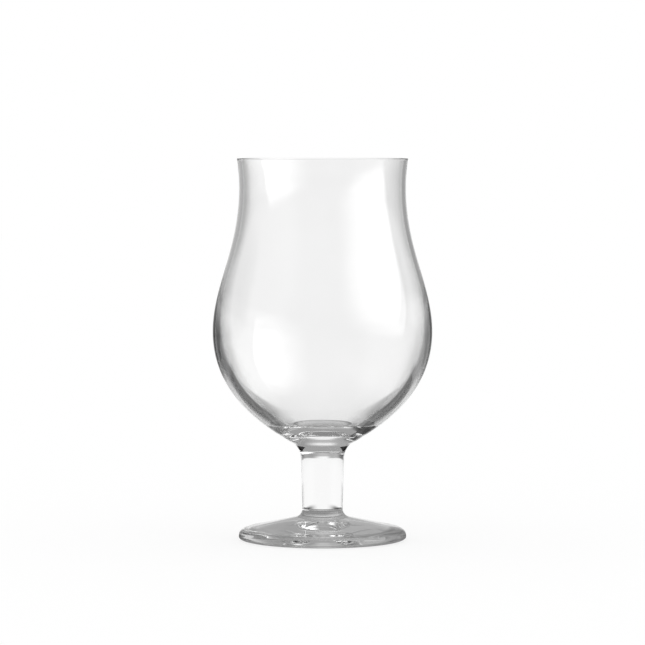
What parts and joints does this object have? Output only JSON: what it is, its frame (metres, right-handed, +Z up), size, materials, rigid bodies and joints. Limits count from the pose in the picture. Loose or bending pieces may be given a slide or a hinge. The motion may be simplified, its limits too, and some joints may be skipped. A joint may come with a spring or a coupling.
{
  "type": "tulip beer glass",
  "caption": "Clear stemmed tulip beer glass: round belly drawn in to a neck with a slightly flared rim, on a short thick stem and a round pressed foot.",
  "frame": {"origin": "on the table, under the glass's axis, at the level of the foot's contact ring", "axes": "+Z up along the axis of revolution, from the foot to the rim; X and Y are equal"},
  "size_m": [0.0874, 0.0874, 0.152],
  "materials": {
    "bowl_glass": "clear blown soda-lime glass, fire-polished and smooth inside and out",
    "stem_glass": "clear drawn solid glass, fire-polished",
    "foot_glass": "clear pressed glass, fire-polished, slightly wavy at its edge"
  },
  "bodies": {
    "root": {"bowl": "bowl_glass", "stem": "stem_glass", "foot": "foot_glass"}
  },
  "joints": []
}
